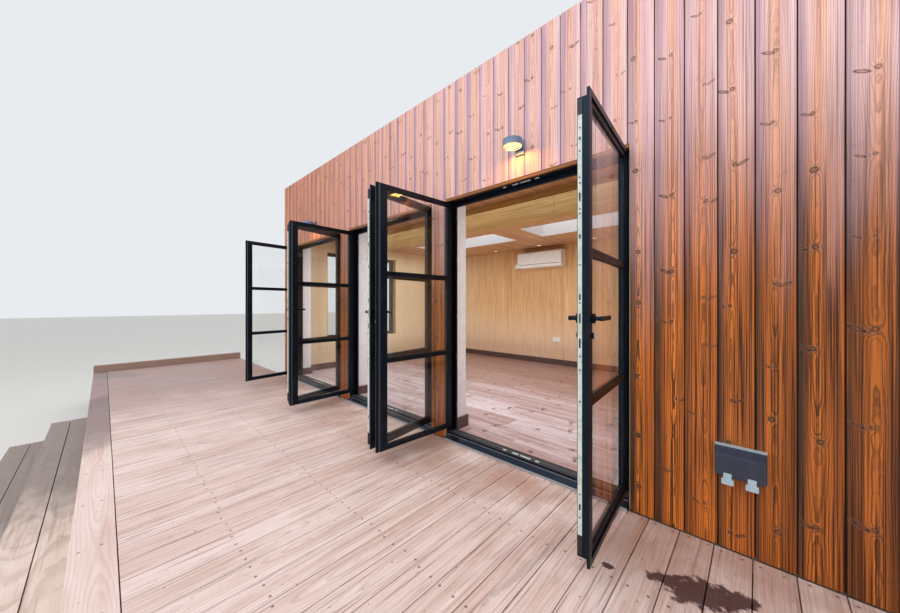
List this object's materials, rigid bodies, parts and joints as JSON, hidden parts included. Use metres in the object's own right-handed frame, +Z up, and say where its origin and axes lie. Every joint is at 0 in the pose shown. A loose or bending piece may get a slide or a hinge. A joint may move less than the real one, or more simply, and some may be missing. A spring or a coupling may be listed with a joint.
{
  "type": "garden annexe",
  "caption": "Flat-roofed timber garden room clad in vertical redwood boards, with glazed black double doors standing open on a raised timber deck with steps.",
  "frame": {"origin": "centre of the footprint of room, deck and steps, at ground level", "axes": "+X along the front wall to the right, seen from outside; +Y from the deck into the room; +Z up"},
  "size_m": [9.096, 6.7164, 3.6],
  "materials": {
    "redwood_boards": "satin",
    "wall_core": "matte",
    "concrete_base": "matte",
    "floor_planks": "satin",
    "golden_ply": "satin",
    "ceiling_ply": "satin",
    "white_boards": "matte",
    "skirting_paint": "satin",
    "deck_timber": "matte",
    "black_aluminium": "satin",
    "lamp_metal": "satin",
    "clear_glass": "gloss",
    "roof_membrane": "matte",
    "white_plastic": "gloss",
    "socket_plastic": "gloss"
  },
  "bodies": {
    "root": {"base_plinth": "concrete_base", "room_floor": "floor_planks", "front_wall_left_end": "wall_core", "front_wall_pier_1": "wall_core", "front_wall_pier_2": "wall_core", "front_wall_right_end": "wall_core", "front_wall_head": "wall_core", "left_wall": "wall_core", "right_wall": "wall_core", "back_wall": "wall_core", "front_cladding": "redwood_boards", "side_cladding": "redwood_boards", "ceiling": "ceiling_ply", "roof_deck": "roof_membrane", "rooflight_glass": "clear_glass", "roof_edge_trim": "black_aluminium", "boxed_beam": "golden_ply", "wall_lining": "golden_ply", "door_reveals": "white_boards", "skirting": "skirting_paint", "door_threshold_1": "black_aluminium", "door_threshold_2": "black_aluminium", "door_threshold_3": "black_aluminium", "door_frame_1": "black_aluminium", "door_frame_2": "black_aluminium", "door_frame_3": "black_aluminium", "gable_window_frame": "black_aluminium", "gable_window_glass": "clear_glass", "wall_lights": "lamp_metal", "outdoor_socket": "socket_plastic", "air_conditioner": "white_plastic", "wall_sockets": "white_plastic", "downlights": "white_plastic", "deck_boards": "deck_timber", "deck_frame": "deck_timber", "step_upper": "deck_timber", "step_lower": "deck_timber", "deck_end_kerb": "deck_timber"},
    "door_leaf_1_left": {"door_leaf_1_left": "black_aluminium", "door_glass_1_left": "clear_glass"},
    "door_leaf_1_right": {"door_leaf_1_right": "black_aluminium", "door_glass_1_right": "clear_glass"},
    "lever_handle_1": {"lever_handle_1": "black_aluminium"},
    "door_leaf_2_left": {"door_leaf_2_left": "black_aluminium", "door_glass_2_left": "clear_glass"},
    "door_leaf_2_right": {"door_leaf_2_right": "black_aluminium", "door_glass_2_right": "clear_glass"},
    "lever_handle_2": {"lever_handle_2": "black_aluminium"},
    "door_leaf_3_left": {"door_leaf_3_left": "black_aluminium", "door_glass_3_left": "clear_glass"},
    "door_leaf_3_right": {"door_leaf_3_right": "black_aluminium", "door_glass_3_right": "clear_glass"},
    "lever_handle_3": {"lever_handle_3": "black_aluminium"}
  },
  "joints": [
    {"name": "leaf_1_left_hinge", "type": "hinge", "parent": "root", "child": "door_leaf_1_left", "pos_m": [-1.515, -0.57525, 1.588], "axis": [0, 0, 1], "range_deg": [-3, 82.7]},
    {"name": "leaf_1_right_hinge", "type": "hinge", "parent": "root", "child": "door_leaf_1_right", "pos_m": [-0.058, -0.57525, 1.588], "axis": [0, 0, 1], "range_deg": [-104.4, 0.15]},
    {"name": "handle_1_turn", "type": "hinge", "parent": "door_leaf_1_right", "child": "lever_handle_1", "pos_m": [0.07759, -1.24611, 1.625], "axis": [0.9686, 0.2487, 0], "range_deg": [-35, 0], "stiffness_Nm_per_rad": 2, "springref_deg": 20.05},
    {"name": "leaf_2_left_hinge", "type": "hinge", "parent": "root", "child": "door_leaf_2_left", "pos_m": [0.1665, -0.57525, 1.588], "axis": [0, 0, 1], "range_deg": [-0.15, 89.3]},
    {"name": "leaf_2_right_hinge", "type": "hinge", "parent": "root", "child": "door_leaf_2_right", "pos_m": [1.6235, -0.57525, 1.588], "axis": [0, 0, 1], "range_deg": [-98, 0.15]},
    {"name": "handle_2_turn", "type": "hinge", "parent": "door_leaf_2_right", "child": "lever_handle_2", "pos_m": [1.68347, -1.25704, 1.625], "axis": [0.9903, 0.1392, 0], "range_deg": [-35, 0], "stiffness_Nm_per_rad": 2, "springref_deg": 20.05},
    {"name": "leaf_3_left_hinge", "type": "hinge", "parent": "root", "child": "door_leaf_3_left", "pos_m": [1.821, -0.57525, 1.588], "axis": [0, 0, 1], "range_deg": [-0.15, 93.3]},
    {"name": "leaf_3_right_hinge", "type": "hinge", "parent": "root", "child": "door_leaf_3_right", "pos_m": [3.278, -0.57525, 1.588], "axis": [0, 0, 1], "range_deg": [-93.9, 2]},
    {"name": "handle_3_turn", "type": "hinge", "parent": "door_leaf_3_right", "child": "lever_handle_3", "pos_m": [3.28907, -1.25958, 1.625], "axis": [0.9977, 0.068, 0], "range_deg": [-35, 0], "stiffness_Nm_per_rad": 2, "springref_deg": 20.05}
  ]
}
